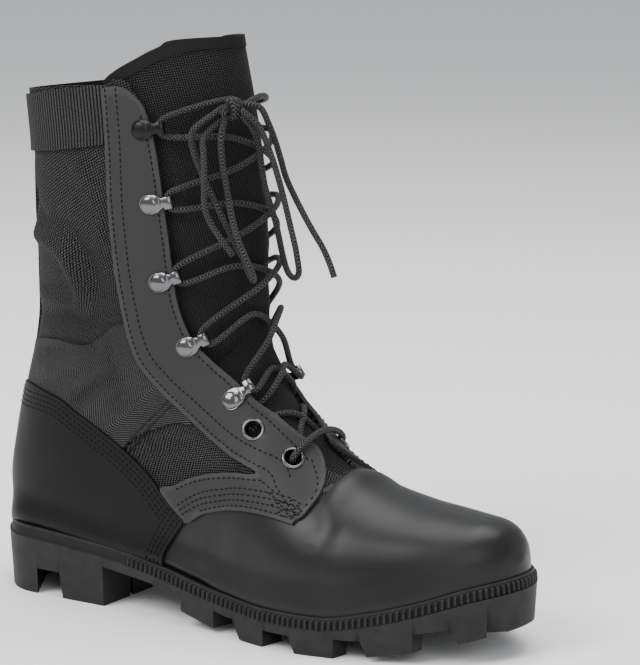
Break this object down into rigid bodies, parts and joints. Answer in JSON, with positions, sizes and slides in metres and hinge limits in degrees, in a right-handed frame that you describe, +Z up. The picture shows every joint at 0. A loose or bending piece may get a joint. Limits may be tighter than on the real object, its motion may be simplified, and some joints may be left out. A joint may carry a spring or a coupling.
{
  "type": "jungle boot",
  "caption": "Right lace-up jungle boot with a nylon shaft, leather vamp and heel, hooks and eyelets up the throat, and a lugged rubber sole.",
  "frame": {"origin": "middle of the small island in the heel's tread, on the floor", "axes": "+X towards the toe, +Y towards the inner side of the foot, +Z up"},
  "size_m": [0.2859, 0.1014, 0.2747],
  "materials": {
    "outsole_rubber": "matte moulded rubber with a fine satin skin",
    "insole_felt": "dark felted cloth",
    "shaft_nylon": "black nylon canvas on the shaft, smooth black leather on the vamp",
    "tongue_nylon": "padded black nylon canvas",
    "webbing": "ribbed black nylon webbing",
    "leather": "smooth black leather, semi-gloss",
    "nickel": "nickel-plated steel",
    "lace_cord": "braided black nylon cord"
  },
  "bodies": {
    "root": {"outsole": "outsole_rubber", "insole": "insole_felt", "upper": "shaft_nylon", "tongue": "tongue_nylon", "eyestay_outer": "leather", "saddle_outer": "leather", "eyestay_inner": "leather", "saddle_inner": "leather", "heel_counter": "leather", "collar_band": "webbing", "backstay": "webbing", "hook_outer_1": "nickel", "hook_outer_2": "nickel", "hook_outer_3": "nickel", "hook_outer_4": "nickel", "hook_outer_5": "nickel", "eyelet_outer_1": "nickel", "eyelet_outer_2": "nickel", "hook_inner_1": "nickel", "hook_inner_2": "nickel", "hook_inner_3": "nickel", "hook_inner_4": "nickel", "hook_inner_5": "nickel", "eyelet_inner_1": "nickel", "eyelet_inner_2": "nickel", "vent_1": "nickel", "vent_2": "nickel", "lacing": "lace_cord", "bow_knot": "lace_cord", "bow_loop_outer": "lace_cord", "bow_end_outer": "lace_cord", "bow_loop_inner": "lace_cord", "bow_end_inner": "lace_cord"}
  },
  "joints": []
}
